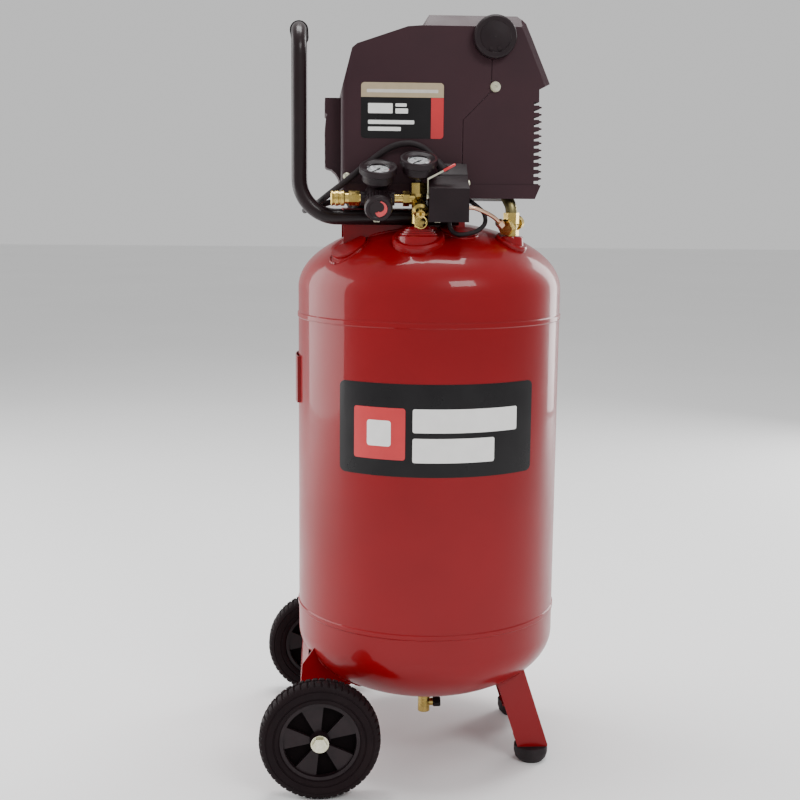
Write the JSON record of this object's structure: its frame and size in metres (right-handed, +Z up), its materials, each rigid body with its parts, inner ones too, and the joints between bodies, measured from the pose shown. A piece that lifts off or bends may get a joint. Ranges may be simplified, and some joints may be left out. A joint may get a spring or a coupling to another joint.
{
  "type": "air compressor",
  "caption": "Upright portable air compressor: red receiver tank on two wheels and a leg, shrouded piston pump on top, gauges, regulator, pressure switch, tube handle.",
  "frame": {"origin": "middle of the footprint on the floor, measured without the power cord", "axes": "+Z up, -Y the front with the gauges and controls, -X the wheel and handle side"},
  "size_m": [0.4574, 0.619, 1.12],
  "materials": {
    "red_paint": "gloss",
    "black_paint": "satin",
    "black_plastic": "fine grain",
    "shroud_plastic": "fine grain",
    "black_rubber": "matt",
    "tyre_rubber": "matt",
    "brass": "machined",
    "zinc": "bright zinc",
    "steel": "ground",
    "iron": "laminated",
    "cast_aluminium": "as cast",
    "copper": "drawn tube",
    "olive_tube": "dulled",
    "clear_lens": "clear",
    "dial_white": "printed",
    "needle_black": "matt",
    "label_black": "printed film",
    "foam": "open cell"
  },
  "bodies": {
    "compressor": {"tank_shell": "red_paint", "tank_top_head": "red_paint", "tank_bottom_head": "red_paint", "seam_welds": "red_paint", "tank_bosses": "red_paint", "saddle_bracket": "red_paint", "nameplate_bracket": "red_paint", "tank_label": "label_black", "shroud_label": "label_black", "wheel_bracket": "red_paint", "axle_bolts": "zinc", "support_leg": "red_paint", "rubber_feet": "black_rubber", "drain_valve_body": "brass", "handle_tube": "black_paint", "handle_grip": "black_rubber", "bolts_and_screws": "zinc", "motor_mounts": "black_rubber", "crankcase": "cast_aluminium", "motor_stator": "iron", "shaft_bearings": "steel", "eccentric": "steel", "connecting_rod": "cast_aluminium", "cylinder": "cast_aluminium", "cylinder_head": "cast_aluminium", "shroud_left": "shroud_plastic", "shroud_right": "shroud_plastic", "intake_filter": "foam", "gauge_cases": "black_plastic", "gauge_dials": "dial_white", "gauge_lenses": "clear_lens", "manifold_body": "brass", "pipe_nipples": "brass", "safety_valve": "brass", "regulator_body": "black_plastic", "coupler_body": "brass", "switch_cover": "black_plastic", "switch_base": "black_plastic", "strain_relief": "black_rubber", "check_valve": "brass", "discharge_tube": "olive_tube", "unloader_tube": "copper", "motor_lead": "black_rubber", "power_cord": "black_rubber", "cord_coil": "black_rubber", "plug": "black_rubber"},
    "wheel_front": {"tyre_front": "tyre_rubber", "hub_front": "black_plastic"},
    "wheel_rear": {"tyre_rear": "tyre_rubber", "hub_rear": "black_plastic"},
    "rotor": {"rotor_shaft": "steel", "cooling_fan": "black_plastic"},
    "regulator_knob": {"regulator_knob": "black_plastic"},
    "tank_needle": {"tank_needle": "needle_black"},
    "outlet_needle": {"outlet_needle": "needle_black"},
    "switch_lever": {"switch_lever": "zinc"},
    "safety_pull": {"safety_ring": "brass"},
    "drain_knob": {"drain_knob": "black_plastic"},
    "coupler_sleeve": {"coupler_sleeve": "brass"},
    "intake_cap": {"intake_cap": "black_plastic"}
  },
  "joints": [
    {"name": "wheel_front_spin", "type": "hinge", "parent": "compressor", "child": "wheel_front", "pos_m": [-0.1407, -0.207, 0.088], "axis": [0, 1, 0], "continuous": true},
    {"name": "wheel_rear_spin", "type": "hinge", "parent": "compressor", "child": "wheel_rear", "pos_m": [-0.1407, 0.207, 0.088], "axis": [0, 1, 0], "continuous": true},
    {"name": "motor_spin", "type": "hinge", "parent": "compressor", "child": "rotor", "pos_m": [0.0273, 0, 0.955], "axis": [1, 0, 0], "continuous": true},
    {"name": "regulator_turn", "type": "hinge", "parent": "compressor", "child": "regulator_knob", "pos_m": [-0.0587, -0.131, 0.862], "axis": [0, -0.9063, -0.4226], "range_deg": [-180, 180]},
    {"name": "tank_needle_sweep", "type": "hinge", "parent": "compressor", "child": "tank_needle", "pos_m": [-0.0017, -0.147, 0.918], "axis": [0, -0.4067, 0.9135], "range_deg": [-270, 0], "stiffness_Nm_per_rad": 0.0002},
    {"name": "outlet_needle_sweep", "type": "hinge", "parent": "compressor", "child": "outlet_needle", "pos_m": [-0.0587, -0.146, 0.906], "axis": [0, -0.4067, 0.9135], "range_deg": [-270, 0], "stiffness_Nm_per_rad": 0.0002},
    {"name": "switch_lever_throw", "type": "hinge", "parent": "compressor", "child": "switch_lever", "pos_m": [0.0118, -0.157, 0.864], "axis": [1, 0, 0], "range_deg": [-15, 0]},
    {"name": "safety_ring_pull", "type": "slide", "parent": "compressor", "child": "safety_pull", "axis": [0, -0.848, -0.5299], "range_m": [0, 0.004], "stiffness_N_per_m": 500},
    {"name": "drain_knob_turn", "type": "hinge", "parent": "compressor", "child": "drain_knob", "pos_m": [0.0273, 0, 0.058], "axis": [1, 0, 0], "range_deg": [-180, 180]},
    {"name": "coupler_sleeve_slide", "type": "slide", "parent": "compressor", "child": "coupler_sleeve", "axis": [1, 0, 0], "range_m": [0, 0.005], "stiffness_N_per_m": 300},
    {"name": "intake_cap_twist", "type": "hinge", "parent": "compressor", "child": "intake_cap", "pos_m": [0.1073, -0.1, 1.0885], "axis": [0, 1, 0], "range_deg": [0, 60]}
  ]
}
